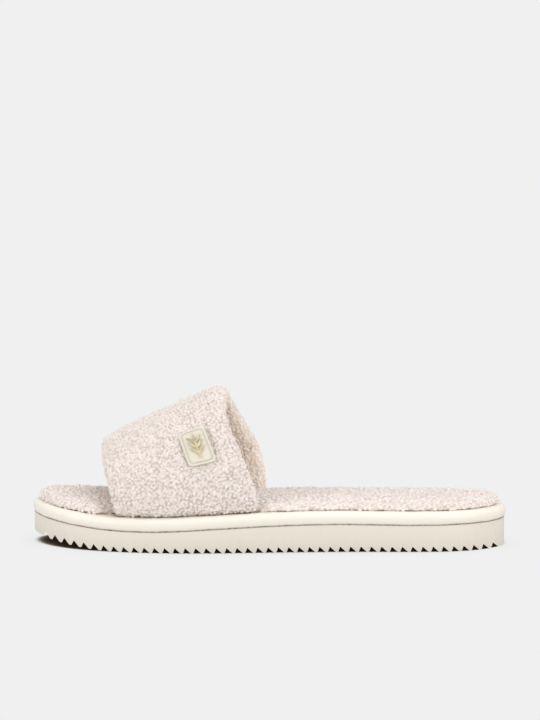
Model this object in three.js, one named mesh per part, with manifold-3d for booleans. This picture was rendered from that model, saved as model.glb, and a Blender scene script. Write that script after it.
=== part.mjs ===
// A fluffy open-toe house slipper for the left foot, women's EU 38 to 39.
// Millimetres, +Z up, +X from toe to heel, -Y the outer side of the foot, +Y the inner side.
// The origin lies on the ground, under the middle of the slipper's bounding box.
import * as THREE from 'three';
import { mergeVertices } from 'three/addons/utils/BufferGeometryUtils.js';
import Module from 'manifold-3d';

const { lerp, clamp, inverseLerp } = THREE.MathUtils;
const manifold = await Module();
manifold.setup();

// ---- Driving dimensions -------------------------------------------------------------------

const CLEARANCE = 0.3; // air between pieces that touch on the real slipper

// The sole's outline in plan, from the toe along the outer side to the heel and back.
const SOLE_OUTLINE = [
  [-129.2, 4], [-122, -16], [-108, -30], [-85, -41], [-55, -47], [-25, -47],
  [10, -43.5], [45, -41.5], [80, -42], [100, -40], [115, -33], [126, -20],
  [129.2, -6], [126.5, 8], [117, 20], [100, 27.5], [80, 29], [50, 28], [20, 29.5],
  [-10, 35], [-40, 43], [-65, 47.5], [-90, 45], [-108, 37], [-121, 24], [-127.5, 14],
];

// Height of the outsole's top edge above the ground, from toe to heel.
const TOP_STATIONS = [-131, -105, -84, -60, -35, 0, 35, 75, 131];
const TOP_HEIGHTS = [16.2, 12.8, 11.1, 10.9, 12.2, 13.8, 14.5, 14, 14.7];

const SPRING_START = -80; // the tread leaves the ground in front of this
const SPRING_LENGTH = 50;
const SPRING_HEIGHT = 6.1;
const SPRING_POWER = 1.7;

const TREAD_PITCH = 5.54; // along the tread
const TREAD_NOTCHES = 45;
const TREAD_FIRST = -121.9;
const TREAD_DEPTH = 2.9;
const TREAD_STEEP_RUN = 1.1; // the toe side of each notch
const TREAD_GENTLE_RUN = 3.2; // the heel side of each notch

// Layers above the outsole's top, each as its lowest and highest level over that top.
const FILLER_LEVELS = [0.3, 1.3];
const BOARD_LEVELS = [1.6, 3.6];
const FOAM_LEVELS = [3.9, 7.4];
const SOCK_LEVEL = 7.7;
const SOCK_THICKNESS_TOE = 6.3;
const SOCK_THICKNESS_HEEL = 4.8;

const FILLER_INSET = 12.5;
const BOARD_INSET = 2.7;
const SOCK_INSET = 3.4;

// The rand's section: distance in from the sole's edge, then height over the outsole's top.
const RAND_SECTION = [
  [12, 0.3], [1.3, 0.3], [0.3, 0.45], [-0.35, 0.95], [-0.7, 2.1], [-0.85, 3.9],
  [-0.5, 5.6], [0.6, 6.9], [2.4, 7.4], [6, 7.4], [6, 6.6], [2.7, 6.5], [1.3, 5.6],
  [0.8, 3.9], [1.1, 2.2], [1.9, 1.3], [12, 1.3],
];
const RAND_STEPS = 76;
const RAND_THREAD_RADIUS = 0.16;
const RAND_THREAD_INSET = -0.12;
const RAND_THREAD_HEIGHT = 0.36; // in the crease between the rand and the outsole's top edge

// The band over the foot, measured on the middle of its thickness.
const BAND_FRONT_FOOT = -78.6;
const BAND_REAR_FOOT_OUTER = -10;
const BAND_REAR_FOOT_INNER = -5;
const BAND_FRONT_CROWN = [-86.8, 52.3];
const BAND_REAR_CROWN = [-27, 81];
const BAND_CROWN_BUMP = 1;
const BAND_CROWN_SHIFT = 3; // the crown lies towards the inner side of the foot
const BAND_REAR_BOW_INNER = 5; // how far the rear edge bows towards the heel
const BAND_REAR_BOW_OUTER = -3.6;
const BAND_ROUNDNESS = 2.3; // exponent of the arch: 2 is an ellipse

const OUTER_THICKNESS = 3.8;
const BAND_FOAM_THICKNESS = 2;
const LINING_THICKNESS = 3.1;
const SKIVED_OUTER = 0.9; // the layers are thinned where they turn in under the footbed
const SKIVED_LINING = 0.8;
const HEM = 0.19; // part of the band's length that is turned in at its front and rear edges

// A wing of the band, from the end of its lasting margin up to the foot of the arch:
// distance in from the sole's edge, height over the outsole's top, and fullness of the layers.
const WING_STATIONS = [0, 0.05, 0.075, 0.095, 0.11, 0.13, 0.16];
const WING_INSETS = [23, 13, 9.8, 8.4, 8.1, 7.2, 6.4];
const WING_HEIGHTS = [4.9, 4.9, 5.6, 7, 8.2, 9.8, 12];
const WING_FULLNESS = [0, 0, 0, 0, 0.05, 0.72, 1];
const ARCH_START = WING_STATIONS[WING_STATIONS.length - 1];

const WING_RECESS_FRONT = -89;
const WING_RECESS_REAR_OUTER = 0;
const WING_RECESS_REAR_INNER = 3;
const WING_SLOT_INSET = 10.8;
const SOCK_NOTCH_INSET = 12.2;
const WING_RECESS_INSET = 25;
const WING_RECESS_TOP = 6.8;

const LABEL_STATION = 0.724; // from the band's front edge to its rear edge
const LABEL_ARCH = 0.288; // from the outer wing to the inner wing
const LABEL_WIDTH = 14.5;
const LABEL_HEIGHT = 18.5;
const LABEL_TILT = THREE.MathUtils.degToRad(2); // its top leans towards the toe
const LABEL_CORNER = 2.2;
const LABEL_THICKNESS = 1.1;
const EMBLEM_THICKNESS = 0.7;
const EMBLEM_HEIGHT = 13;

const THREAD_RADIUS = 0.3;

// ---- Shaping helpers ----------------------------------------------------------------------

/** A smooth height profile through a few stations along the slipper. */
function profile(stations, values) {
  const spline = new THREE.CubicInterpolant(stations, values, 1);
  return (x) => spline.evaluate(x)[0];
}

/** Moves every vertex of a geometry to place(u, v, w), and turns the faces outward. */
function remap(geometry, coordinates, place) {
  const position = geometry.attributes.position;
  for (let i = 0; i < position.count; i += 1) {
    const point = place(...coordinates(geometry, i));
    position.setXYZ(i, point.x, point.y, point.z);
  }
  geometry.deleteAttribute('normal');
  geometry.deleteAttribute('uv');
  const closed = mergeVertices(geometry, 1e-4);
  return signedVolume(closed) < 0 ? turnedInsideOut(closed) : closed;
}

/** A block divided into small cells, bent into shape by place(u, v, w), each from 0 to 1. */
function bentBlock(steps, place) {
  const block = new THREE.BoxGeometry(1, 1, 1, ...steps);
  const coordinates = ({ attributes: { position } }, i) => [
    position.getX(i) + 0.5,
    position.getY(i) + 0.5,
    position.getZ(i) + 0.5,
  ];
  return remap(block, coordinates, place);
}

/** A closed ring: place(around, corner) puts each corner of its section at each step around. */
function ring(steps, corners, place) {
  const torus = new THREE.TorusGeometry(2, 1, corners, steps);
  const coordinates = ({ attributes: { uv } }, i) => [
    uv.getX(i) % 1,
    Math.round(uv.getY(i) * corners) % corners,
  ];
  return remap(torus, coordinates, place);
}

function signedVolume(geometry) {
  const { position } = geometry.attributes;
  const index = geometry.index.array;
  const corner = [0, 1, 2].map(() => new THREE.Vector3());
  let total = 0;
  for (let i = 0; i < index.length; i += 3) {
    corner.forEach((point, k) => point.fromBufferAttribute(position, index[i + k]));
    total += corner[0].dot(corner[1].cross(corner[2])) / 6;
  }
  return total;
}

function turnedInsideOut(geometry) {
  const index = geometry.index.array;
  for (let i = 0; i < index.length; i += 3) {
    [index[i], index[i + 1]] = [index[i + 1], index[i]];
  }
  return geometry;
}

function toSolid(geometry) {
  geometry.deleteAttribute('normal');
  geometry.deleteAttribute('uv');
  const welded = mergeVertices(geometry, 1e-4);
  return new manifold.Manifold(new manifold.Mesh({
    numProp: 3,
    vertProperties: new Float32Array(welded.attributes.position.array),
    triVerts: new Uint32Array(welded.index.array),
  }));
}

function toGeometry(solid) {
  const mesh = solid.getMesh();
  const geometry = new THREE.BufferGeometry();
  geometry.setAttribute('position', new THREE.BufferAttribute(mesh.vertProperties, 3));
  geometry.setIndex(new THREE.BufferAttribute(mesh.triVerts, 1));
  return geometry;
}

/** Quarter-round rise from 0 at an edge to 1 at the given distance in from it. */
function roundedRim(distance, width) {
  const left = 1 - clamp(distance / width, 0, 1);
  return Math.sqrt(1 - left * left);
}

const easeAtBothEnds = (u) => (1 - Math.cos(Math.PI * u)) / 2;

// ---- The sole's plan and heights ----------------------------------------------------------

const outline = new THREE.CatmullRomCurve3(
  SOLE_OUTLINE.map(([x, y]) => new THREE.Vector3(x, y, 0)),
  true,
  'centripetal',
);
const outsoleTop = profile(TOP_STATIONS, TOP_HEIGHTS);

/** The underside of the tread: flat on the ground, rising under the toes. */
function outsoleBottom(x) {
  const rise = clamp((SPRING_START - x) / SPRING_LENGTH, 0, 1);
  return SPRING_HEIGHT * rise ** SPRING_POWER;
}

/** A point beside the sole's outline, at a distance in from it. */
function besideOutline(around, inset) {
  const point = outline.getPoint(around);
  const along = outline.getTangent(around);
  return point.add(new THREE.Vector3(-along.y, along.x, 0).multiplyScalar(inset));
}

/** The outline at a distance in, as its ends in x and its two edges in y at any x. */
function planEdges(inset) {
  const count = 240;
  const points = Array.from({ length: count }, (_, i) => besideOutline(i / count, inset));
  const ends = points.map((point) => point.x);
  const blunt = 0.25;
  return {
    toe: Math.min(...ends) + blunt,
    heel: Math.max(...ends) - blunt,
    at(x) {
      const crossings = [];
      points.forEach((a, i) => {
        const b = points[(i + 1) % count];
        if ((a.x <= x) !== (b.x <= x)) {
          crossings.push(lerp(a.y, b.y, inverseLerp(a.x, b.x, x)));
        }
      });
      return [Math.min(...crossings), Math.max(...crossings)];
    },
  };
}

/** A slab that follows the sole's outline at a distance in. */
function plate({ inset, bottom, top, notch = () => 0, steps = [32, 4, 1], rim = 0 }) {
  const edges = planEdges(inset);
  return bentBlock(steps, (u, v, w) => {
    const x = lerp(edges.toe, edges.heel, easeAtBothEnds(u));
    const sides = edges.at(x);
    const outer = sides[0] + notch(x, WING_RECESS_REAR_OUTER);
    const inner = sides[1] - notch(x, WING_RECESS_REAR_INNER);
    const y = lerp(outer, inner, rim ? easeAtBothEnds(v) : v);
    const toEdge = Math.min(y - outer, inner - y, x - edges.toe, edges.heel - x);
    return new THREE.Vector3(x, y, lerp(bottom(x), top(x, toEdge), w));
  });
}

const level = (height) => (x) => outsoleTop(x) + height;

// ---- Outsole ------------------------------------------------------------------------------

/** One transverse notch of the saw-tooth tread, a three-sided prism through the whole width. */
function treadNotch(x) {
  const slope = Math.atan2(outsoleBottom(x + 1) - outsoleBottom(x - 1), 2);
  const mouth = 1; // how far the prism reaches below the tread, to cut it cleanly
  const spread = (TREAD_DEPTH + mouth) / TREAD_DEPTH;
  const section = new THREE.Shape();
  section.moveTo(-TREAD_STEEP_RUN * spread, -mouth);
  section.lineTo(TREAD_GENTLE_RUN * spread, -mouth);
  section.lineTo(0, TREAD_DEPTH);
  section.closePath();
  const length = 120;
  const prism = new THREE.ExtrudeGeometry(section, { depth: length, bevelEnabled: false });
  prism.translate(0, 0, -length / 2);
  prism.rotateX(Math.PI / 2);
  prism.rotateY(-slope);
  prism.translate(x, 0, outsoleBottom(x));
  return toSolid(prism);
}

function outsole() {
  const block = plate({ inset: 0, bottom: outsoleBottom, top: outsoleTop, steps: [52, 2, 1] });
  let solid = toSolid(block);
  let x = TREAD_FIRST;
  for (let i = 0; i < TREAD_NOTCHES; i += 1) {
    solid = solid.subtract(treadNotch(x));
    const rise = outsoleBottom(x) - outsoleBottom(x + TREAD_PITCH);
    x += Math.sqrt(TREAD_PITCH ** 2 - rise ** 2);
  }
  return toGeometry(solid);
}

// ---- Footbed: rand, filler, board, foam and fleece sock -----------------------------------

function sectionRing(section) {
  return ring(RAND_STEPS, section.length, (around, corner) => {
    const [inset, height] = section[corner];
    const point = besideOutline(around, inset);
    return point.setZ(outsoleTop(point.x) + height);
  });
}

/** How far a layer is cut back at the sides to let the band's wings down past it. */
function wingNotch(depth) {
  const ramp = 4;
  return (x, rearEnd) => {
    const front = clamp((x - WING_RECESS_FRONT) / ramp, 0, 1);
    const rear = clamp((rearEnd - x) / ramp, 0, 1);
    return depth * Math.min(front, rear);
  };
}

/** The space in the foam's underside for one wing's lasting margin. */
function wingRecess(side) {
  const rearEnd = side < 0 ? WING_RECESS_REAR_OUTER : WING_RECESS_REAR_INNER;
  return bentBlock([16, 1, 1], (u, v, w) => {
    const x = lerp(WING_RECESS_FRONT, rearEnd, u);
    const edges = soleEdges.at(x);
    const edge = side < 0 ? edges[0] : edges[1];
    const y = edge - side * lerp(-1, WING_RECESS_INSET, v);
    const z = outsoleTop(x) + lerp(FOAM_LEVELS[0] - 1, WING_RECESS_TOP, w);
    return new THREE.Vector3(x, y, z);
  });
}

function footbedFoam() {
  const block = plate({
    inset: BOARD_INSET,
    bottom: level(FOAM_LEVELS[0]),
    top: level(FOAM_LEVELS[1]),
    notch: wingNotch(WING_SLOT_INSET - BOARD_INSET),
    steps: [40, 4, 1],
  });
  const randRebate = sectionRing([[1, 6.2], [6.3, 6.2], [6.3, 8.5], [1, 8.5]]);
  let solid = toSolid(block).subtract(toSolid(randRebate));
  for (const side of [-1, 1]) {
    solid = solid.subtract(toSolid(wingRecess(side)));
  }
  return toGeometry(solid);
}

function sockFleece() {
  const thickness = profile([-131, -40, 10, 131], [
    SOCK_THICKNESS_TOE, SOCK_THICKNESS_TOE, SOCK_THICKNESS_HEEL, SOCK_THICKNESS_HEEL,
  ]);
  const rimWidth = 8;
  const rimThickness = 0.3;
  return plate({
    inset: SOCK_INSET,
    bottom: level(SOCK_LEVEL),
    top: (x, toEdge) => {
      const fullness = lerp(rimThickness, 1, roundedRim(toEdge, rimWidth));
      return outsoleTop(x) + SOCK_LEVEL + thickness(x) * fullness;
    },
    notch: wingNotch(SOCK_NOTCH_INSET - SOCK_INSET),
    steps: [38, 6, 1],
    rim: rimWidth,
  });
}

/** The rand's sewing thread, laid all round the sole in the crease under the rand. */
function randThread() {
  const sides = 6;
  return ring(RAND_STEPS, sides, (around, corner) => {
    const angle = (2 * Math.PI * corner) / sides;
    const point = besideOutline(around, RAND_THREAD_INSET + RAND_THREAD_RADIUS * Math.cos(angle));
    const height = RAND_THREAD_HEIGHT + RAND_THREAD_RADIUS * Math.sin(angle);
    return point.setZ(outsoleTop(point.x) + height);
  });
}

// ---- Band over the foot -------------------------------------------------------------------

const soleEdges = planEdges(0);
const wingInset = profile(WING_STATIONS, WING_INSETS);
const wingHeight = profile(WING_STATIONS, WING_HEIGHTS);

/** Layer fullness along the arch: 0 in the skived lasting margins, 1 over the foot. */
function fullness(s) {
  const station = Math.min(s, 1 - s, ARCH_START);
  const next = Math.max(1, WING_STATIONS.findIndex((value) => value >= station));
  const part = inverseLerp(WING_STATIONS[next - 1], WING_STATIONS[next], station);
  return lerp(WING_FULLNESS[next - 1], WING_FULLNESS[next], part);
}

/** How far the rear edge bows along the foot: low on the inner side, halfway up on the outer. */
function rearBow(turn, rise) {
  if (turn < Math.PI / 2) {
    return BAND_REAR_BOW_OUTER * Math.sin(2 * turn) ** 2;
  }
  const highest = 0.38;
  const low = (height) => height ** 1.6 * (1 - height) ** 2.6;
  return (BAND_REAR_BOW_INNER * low(rise)) / low(highest);
}

/**
 * The middle surface of the band. t runs from the front edge (0) to the rear edge (1),
 * s from the end of the outer wing (0) over the foot to the end of the inner wing (1).
 */
function bandSurface(t, s) {
  const rearFoot = lerp(BAND_REAR_FOOT_OUTER, BAND_REAR_FOOT_INNER, s);
  const footX = lerp(BAND_FRONT_FOOT, rearFoot, t);
  const crownX = lerp(BAND_FRONT_CROWN[0], BAND_REAR_CROWN[0], t);
  const crownZ = lerp(BAND_FRONT_CROWN[1], BAND_REAR_CROWN[1], t)
    + BAND_CROWN_BUMP * Math.sin(Math.PI * t);
  const [outer, inner] = soleEdges.at(footX);
  const ground = outsoleTop(footX);
  if (s <= ARCH_START) {
    return new THREE.Vector3(footX, outer + wingInset(s), ground + wingHeight(s));
  }
  if (s >= 1 - ARCH_START) {
    return new THREE.Vector3(footX, inner - wingInset(1 - s), ground + wingHeight(1 - s));
  }
  const turn = Math.PI * inverseLerp(ARCH_START, 1 - ARCH_START, s);
  const power = 2 / BAND_ROUNDNESS;
  const rise = Math.sin(turn) ** power;
  const across = Math.sign(Math.cos(turn)) * Math.abs(Math.cos(turn)) ** power;
  const halfWidth = (inner - outer) / 2 - wingInset(ARCH_START);
  const y = (inner + outer) / 2 - halfWidth * across + BAND_CROWN_SHIFT * rise;
  const foot = ground + wingHeight(ARCH_START);
  const bow = t ** 5 * rearBow(turn, rise);
  return new THREE.Vector3(lerp(footX, crownX, rise) + bow, y, lerp(foot, crownZ, rise));
}

/** The band's surface at (t, s), moved by ahead along t and by out along the outward normal. */
function onBand(t, s, ahead = 0, out = 0) {
  const step = 0.004;
  const alongT = bandSurface(t + step, s).sub(bandSurface(t - step, s)).normalize();
  const before = bandSurface(t, Math.max(0, s - step));
  const alongS = bandSurface(t, Math.min(1, s + step)).sub(before).normalize();
  const normal = alongT.clone().cross(alongS).normalize();
  return bandSurface(t, s).addScaledVector(alongT, ahead).addScaledVector(normal, out);
}

/** Distances of the layers' faces from the middle surface. */
function layerFaces(s) {
  const full = fullness(s);
  const core = lerp(CLEARANCE / 2, BAND_FOAM_THICKNESS / 2 + CLEARANCE, full);
  return {
    core,
    outside: core + lerp(SKIVED_OUTER, OUTER_THICKNESS, full),
    inside: core + lerp(SKIVED_LINING, LINING_THICKNESS, full),
  };
}

/**
 * The outer fleece's run in the band's length: turned in at the rear, round the rear edge,
 * over the outside, round the front edge and turned in again. side is 1 outside and -1 inside,
 * round is the part of the way out to the rolled edge.
 */
function foldedRun() {
  const rollAngles = [-90, -60, -30, 0, 30, 60, 90].map(THREE.MathUtils.degToRad);
  const stops = 9;
  const outside = Array.from({ length: stops - 1 }, (_, i) => 1 - (i + 1) / stops);
  return [
    { t: 1 - HEM, angle: -Math.PI / 2, end: 1 },
    ...rollAngles.map((angle) => ({ t: 1, angle, end: 1 })),
    ...outside.map((t) => ({ t, angle: Math.PI / 2, end: 1 })),
    ...rollAngles.map((angle) => ({ t: 0, angle: -angle, end: -1 })),
    { t: HEM, angle: -Math.PI / 2, end: -1 },
  ];
}

const ARCH_STOPS = archStops();

/** Where the band is divided across the foot: each bend of the wings, then even steps. */
function archStops() {
  const archSteps = 20;
  const wing = WING_STATIONS.slice(0, -1);
  const arch = Array.from(
    { length: archSteps + 1 },
    (_, i) => lerp(ARCH_START, 1 - ARCH_START, i / archSteps),
  );
  return [...wing, ...arch, ...wing.map((s) => 1 - s).reverse()];
}

const archStop = (v) => ARCH_STOPS[Math.round(v * (ARCH_STOPS.length - 1))];

function upperOuterFleece() {
  const run = foldedRun();
  return bentBlock([run.length - 1, ARCH_STOPS.length - 1, 1], (u, v, w) => {
    const { t, angle, end } = run[Math.round(u * (run.length - 1))];
    const s = archStop(v);
    const faces = layerFaces(s);
    const outermost = Math.sin(angle) < 0 ? faces.inside : faces.outside;
    const blend = Math.abs(Math.sin(angle));
    const edge = lerp((faces.inside + faces.outside) / 2, outermost, blend);
    const reach = lerp(faces.core, edge, w);
    return onBand(t, s, end * reach * Math.cos(angle), reach * Math.sin(angle));
  });
}

/** A layer of the band between two stations of its length and two of its arch. */
function bandLayer({ from, to, steps, stop, inner, outer }) {
  return bentBlock([steps[0], steps[1], 1], (u, v, w) => {
    const s = stop(v);
    return onBand(lerp(from, to, u), s, 0, lerp(inner(s), outer(s), w));
  });
}

function upperLiningFleece() {
  const gap = 0.01;
  return bandLayer({
    from: HEM + gap,
    to: 1 - HEM - gap,
    steps: [6, ARCH_STOPS.length - 1],
    stop: archStop,
    inner: (s) => -layerFaces(s).inside,
    outer: (s) => -layerFaces(s).core,
  });
}

const ARCH_ONLY = ARCH_STOPS.filter((s) => s >= ARCH_START && s <= 1 - ARCH_START);
const archOnlyStop = (v) => ARCH_ONLY[Math.round(v * (ARCH_ONLY.length - 1))];

/** A strip inside the folded band, between two stations of its length. */
function bandCore(from, to, thickness, lengthSteps) {
  return bandLayer({
    from,
    to,
    steps: [lengthSteps, ARCH_ONLY.length - 1],
    stop: archOnlyStop,
    inner: () => -thickness / 2,
    outer: () => thickness / 2,
  });
}

/** A stitch row's thread over the outside of the band, from wing to wing. */
function hemThread(t) {
  const count = 36;
  const path = Array.from({ length: count + 1 }, (_, i) => {
    const s = lerp(ARCH_START + 0.01, 1 - ARCH_START - 0.01, i / count);
    return onBand(t, s, 0, layerFaces(s).outside + CLEARANCE + THREAD_RADIUS);
  });
  const section = new THREE.Shape();
  const sides = 6;
  for (let i = 0; i < sides; i += 1) {
    const angle = (2 * Math.PI * i) / sides;
    const corner = [THREAD_RADIUS * Math.cos(angle), THREAD_RADIUS * Math.sin(angle)];
    if (i === 0) {
      section.moveTo(...corner);
    } else {
      section.lineTo(...corner);
    }
  }
  section.closePath();
  return new THREE.ExtrudeGeometry(section, {
    steps: 44,
    extrudePath: new THREE.CatmullRomCurve3(path),
  });
}

// ---- Label on the band --------------------------------------------------------------------

const LABEL_BASE = layerFaces(0.5).outside + CLEARANCE;

/** A place on the label: across and up in millimetres from its middle, out from the fleece. */
function onLabel(across, up, out) {
  const step = 0.01;
  const middle = bandSurface(LABEL_STATION, LABEL_ARCH);
  const perT = bandSurface(LABEL_STATION + step, LABEL_ARCH).distanceTo(middle) / step;
  const perS = bandSurface(LABEL_STATION, LABEL_ARCH + step).distanceTo(middle) / step;
  const ahead = across * Math.cos(LABEL_TILT) - up * Math.sin(LABEL_TILT);
  const over = across * Math.sin(LABEL_TILT) + up * Math.cos(LABEL_TILT);
  return onBand(LABEL_STATION + ahead / perT, LABEL_ARCH + over / perS, 0, LABEL_BASE + out);
}

/** Half the label's width at a height, with round corners. */
function labelHalfWidth(up) {
  const intoCorner = Math.max(0, Math.abs(up) - (LABEL_HEIGHT / 2 - LABEL_CORNER));
  return LABEL_WIDTH / 2 - LABEL_CORNER + Math.sqrt(LABEL_CORNER ** 2 - intoCorner ** 2);
}

function labelPatch() {
  const rows = 14;
  return bentBlock([4, rows, 1], (u, v, w) => {
    const up = (LABEL_HEIGHT / 2) * Math.sin(Math.PI * (v - 0.5));
    return onLabel(lerp(-1, 1, u) * labelHalfWidth(up), up, w * LABEL_THICKNESS);
  });
}

/** The label's sewing thread, a rounded loop just inside its edge. */
function labelThread() {
  const margin = 1.3;
  const sides = 6;
  const height = LABEL_THICKNESS + CLEARANCE + THREAD_RADIUS / 2;
  const loop = new THREE.Shape();
  const halfWidth = LABEL_WIDTH / 2 - margin;
  const halfHeight = LABEL_HEIGHT / 2 - margin;
  const corner = LABEL_CORNER - margin / 2;
  loop.absarc(halfWidth - corner, halfHeight - corner, corner, 0, Math.PI / 2);
  loop.absarc(corner - halfWidth, halfHeight - corner, corner, Math.PI / 2, Math.PI);
  loop.absarc(corner - halfWidth, corner - halfHeight, corner, Math.PI, 1.5 * Math.PI);
  loop.absarc(halfWidth - corner, corner - halfHeight, corner, 1.5 * Math.PI, 2 * Math.PI);
  loop.closePath();
  return ring(44, sides, (around, corner6) => {
    const point = loop.getPointAt(around);
    const along = loop.getTangentAt(around);
    const angle = (2 * Math.PI * corner6) / sides;
    const sideways = (THREAD_RADIUS / 2) * Math.cos(angle);
    const out = height + (THREAD_RADIUS / 2) * Math.sin(angle);
    return onLabel(point.x - along.y * sideways, point.y + along.x * sideways, out);
  });
}

/** One leaf of the emblem: a pointed oval from its foot, turned by an angle. */
function leaf(footUp, angle, length, width) {
  const rows = 5;
  return toSolid(bentBlock([2, rows, 1], (u, v, w) => {
    const along = v * length;
    const half = 0.16 + (width / 2) * Math.sin(Math.PI * v);
    const side = lerp(-half, half, u);
    const across = side * Math.cos(angle) + along * Math.sin(angle);
    const up = footUp - side * Math.sin(angle) + along * Math.cos(angle);
    return new THREE.Vector3(across, up, w * EMBLEM_THICKNESS);
  }));
}

/** A plain gilt sprig of six slender leaves on one stem. */
function labelEmblem() {
  const foot = -EMBLEM_HEIGHT / 2;
  const pairs = [foot + 2.4, foot + 5.1, foot + 7.8];
  let sprig = leaf(foot, 0, EMBLEM_HEIGHT, 0.9);
  for (const up of pairs) {
    for (const side of [-1, 1]) {
      sprig = sprig.add(leaf(up, side * 0.8, 5.4, 1.15));
    }
  }
  const flat = toGeometry(sprig);
  const { position } = flat.attributes;
  for (let i = 0; i < position.count; i += 1) {
    const out = LABEL_THICKNESS + CLEARANCE + position.getZ(i);
    const point = onLabel(position.getX(i), position.getY(i), out);
    position.setXYZ(i, point.x, point.y, point.z);
  }
  return signedVolume(flat) < 0 ? turnedInsideOut(flat) : flat;
}

// ---- Assembly -----------------------------------------------------------------------------

const finishes = {
  moulded: { color: 0xe3dccd, roughness: 0.62, metalness: 0 },
  leatherette: { color: 0xf3eee0, roughness: 0.42, metalness: 0 },
  fleece: { color: 0xe8dcd3, roughness: 0.95, metalness: 0 },
  lining: { color: 0xead8ca, roughness: 0.95, metalness: 0 },
  foam: { color: 0xf1ead2, roughness: 0.9, metalness: 0 },
  board: { color: 0xb99f7c, roughness: 0.85, metalness: 0 },
  felt: { color: 0xa9a39a, roughness: 0.95, metalness: 0 },
  tape: { color: 0xf2f0ea, roughness: 0.8, metalness: 0 },
  thread: { color: 0xd9cbb4, roughness: 0.7, metalness: 0 },
  darkThread: { color: 0x8d7f6a, roughness: 0.7, metalness: 0 },
  gilt: { color: 0xb89b5a, roughness: 0.3, metalness: 1 },
};

const slipper = new THREE.Group();
slipper.name = 'fluffy_house_slipper';

function add(name, geometry, finish) {
  const mesh = new THREE.Mesh(geometry, new THREE.MeshStandardMaterial(finishes[finish]));
  mesh.name = name;
  slipper.add(mesh);
}

add('outsole', outsole(), 'moulded');

add('rand', sectionRing(RAND_SECTION), 'leatherette');
add('rand_thread', randThread(), 'darkThread');
add('bottom_filler', plate({
  inset: FILLER_INSET,
  bottom: level(FILLER_LEVELS[0]),
  top: level(FILLER_LEVELS[1]),
}), 'felt');
add('insole_board', plate({
  inset: BOARD_INSET,
  bottom: level(BOARD_LEVELS[0]),
  top: level(BOARD_LEVELS[1]),
}), 'board');
add('footbed_foam', footbedFoam(), 'foam');
add('sock_fleece', sockFleece(), 'fleece');

add('upper_outer_fleece', upperOuterFleece(), 'fleece');
add('upper_foam', bandCore(0.06, 0.94, BAND_FOAM_THICKNESS, 6), 'foam');
add('upper_lining_fleece', upperLiningFleece(), 'lining');
add('front_edge_tape', bandCore(0.005, 0.05, BAND_FOAM_THICKNESS, 1), 'tape');
add('rear_edge_tape', bandCore(0.95, 0.995, BAND_FOAM_THICKNESS, 1), 'tape');
add('front_hem_thread', hemThread(HEM - 0.035), 'thread');
add('rear_hem_thread', hemThread(1 - HEM + 0.05), 'thread');

add('label_patch', labelPatch(), 'leatherette');
add('label_thread', labelThread(), 'thread');
add('label_emblem', labelEmblem(), 'gilt');

export default slipper;
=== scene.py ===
import math
import bmesh
import bpy
import numpy as np
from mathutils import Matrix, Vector
from mathutils.bvhtree import BVHTree
from mathutils.kdtree import KDTree


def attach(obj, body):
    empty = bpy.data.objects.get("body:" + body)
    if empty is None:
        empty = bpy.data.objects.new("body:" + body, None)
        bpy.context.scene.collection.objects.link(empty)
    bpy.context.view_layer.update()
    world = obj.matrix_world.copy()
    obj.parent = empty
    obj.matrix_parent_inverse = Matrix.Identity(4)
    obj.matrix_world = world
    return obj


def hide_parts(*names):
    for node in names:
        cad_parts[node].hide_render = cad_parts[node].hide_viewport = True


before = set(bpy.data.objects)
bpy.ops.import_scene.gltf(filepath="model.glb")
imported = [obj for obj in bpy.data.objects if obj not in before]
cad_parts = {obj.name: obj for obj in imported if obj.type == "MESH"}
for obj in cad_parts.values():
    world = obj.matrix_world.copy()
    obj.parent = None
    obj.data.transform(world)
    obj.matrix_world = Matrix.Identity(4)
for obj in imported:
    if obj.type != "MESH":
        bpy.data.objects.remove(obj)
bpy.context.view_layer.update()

MM = 0.001
scene = bpy.context.scene

# ---- Camera ------------------------------------------------------------------------------------
# A long lens set low in front of the slipper's outer side, aimed above it, so that the slipper
# stands low in a tall picture.
SIGHT_DISTANCE = 1.547
SIGHT_ELEVATION = math.radians(8.75)
AIM_ABOVE = math.radians(3.68)
SIGHT_SHIFT = 0.8 * MM
LENS_MM = 140
PICTURE_HEIGHT_MM = 36

camera_data = bpy.data.cameras.new("camera")
camera_data.lens = LENS_MM
camera_data.sensor_width = PICTURE_HEIGHT_MM
camera_data.clip_start = 0.05
camera_data.clip_end = 60
camera = bpy.data.objects.new("camera", camera_data)
scene.collection.objects.link(camera)
camera.location = (
    SIGHT_SHIFT,
    -SIGHT_DISTANCE * math.cos(SIGHT_ELEVATION),
    SIGHT_DISTANCE * math.sin(SIGHT_ELEVATION),
)
camera.rotation_euler = (math.pi / 2 - SIGHT_ELEVATION + AIM_ABOVE, 0, 0)
scene.camera = camera
scene.view_settings.view_transform = "Standard"

# ---- Table and light ---------------------------------------------------------------------------
# A pale table and surround of one even tone, as for catalogue work. The table glows instead of
# being lit, and its shadow round and under the sole is painted shade, darkened by an ambient
# occlusion ramp where the sole shuts the light out. Four softboxes: one overhead, one in front,
# one by the heel, one by the toe.
PALE = 0.872
TABLE_LIGHT = 0.60
SURROUND_LIGHT = 0.64
TABLE_SIZE = 40.0
SHADE_REACH = 0.06
SHADE_SAMPLES = 12
SHADE_CLOSED = (0.010, 0.007, 0.005, 1)
SHADE_OPEN = (1.0, 1.0, 1.0, 1)
SHADE_OPEN_FROM = 0.85
SHADE_BETWEEN = (
    (0.15, (0.03, 0.02, 0.014, 1)),
    (0.30, (0.10, 0.075, 0.058, 1)),
    (0.41, (0.42, 0.37, 0.33, 1)),
    (0.485, (0.95, 0.95, 0.945, 1)),
)


def new_material(name):
    """An empty node material: the material, its node tree and its output node."""
    material = bpy.data.materials.new(name)
    material.use_nodes = True
    tree = material.node_tree
    tree.nodes.clear()
    return material, tree, tree.nodes.new("ShaderNodeOutputMaterial")


def link(tree, source, target):
    """Joins one socket to another."""
    tree.links.new(source, target)


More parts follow.
